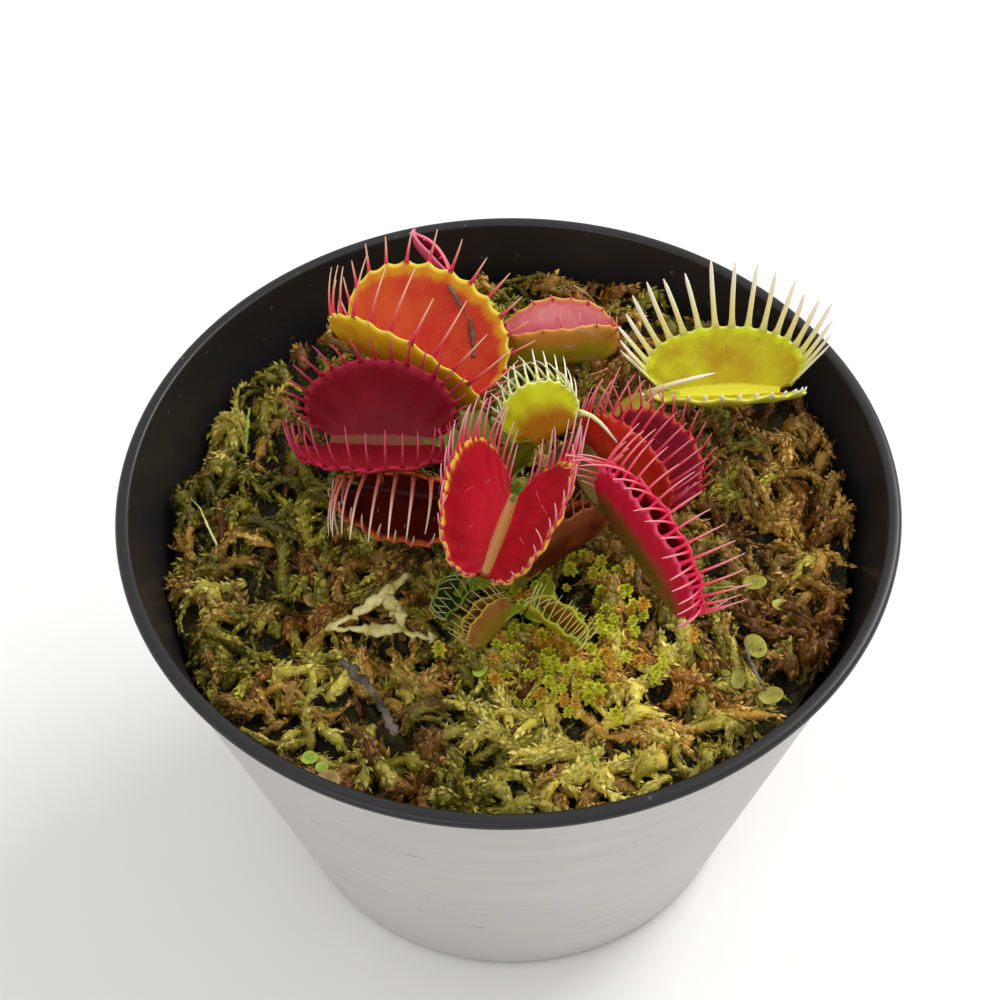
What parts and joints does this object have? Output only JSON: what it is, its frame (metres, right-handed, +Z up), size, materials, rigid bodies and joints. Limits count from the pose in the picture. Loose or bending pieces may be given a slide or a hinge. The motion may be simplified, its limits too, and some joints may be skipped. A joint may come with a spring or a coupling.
{
  "type": "potted venus flytrap",
  "caption": "Small carnivorous plant with toothed two-lobed snap traps on winged stalks, growing in sphagnum moss in a thin round tapered nursery pot.",
  "frame": {"origin": "centre of the underside of the pot's foot ring, on the surface the pot stands on", "axes": "+Z up along the pot's axis, -Y towards the front of the plant, +X to the right seen from the front"},
  "size_m": [0.09, 0.09, 0.0799],
  "materials": {
    "pot": "dark thermoformed polypropylene, satin, paler scuffed outside",
    "moss": "wet long-fibre sphagnum, olive to yellow-green strands over dark gaps",
    "crown": "waxy pale leaf bases",
    "leaf_crimson": "waxy leaf, crimson inside the trap, yellow margin, pink teeth",
    "leaf_amber": "waxy leaf, orange to red inside the trap, golden margin",
    "leaf_lime": "waxy leaf, yellow-green, cream teeth"
  },
  "bodies": {
    "root": {"nursery_pot": "pot", "sphagnum_fill": "moss", "main_crown": "crown", "offshoot_crown": "crown", "leaf_orange_large": "leaf_amber", "leaf_crimson_wide": "leaf_crimson", "leaf_amber_caged": "leaf_amber", "leaf_crimson_heart": "leaf_crimson", "leaf_scarlet_right": "leaf_crimson", "leaf_crimson_clasped": "leaf_crimson", "leaf_lime_large": "leaf_lime", "leaf_lime_small": "leaf_lime", "leaf_pink_rear": "leaf_crimson", "leaf_brown_folded": "leaf_amber", "leaf_rose_bud": "leaf_crimson", "leaf_tiny_left": "leaf_amber", "leaf_tiny_front": "leaf_amber", "leaf_tiny_right": "leaf_amber"}
  },
  "joints": []
}
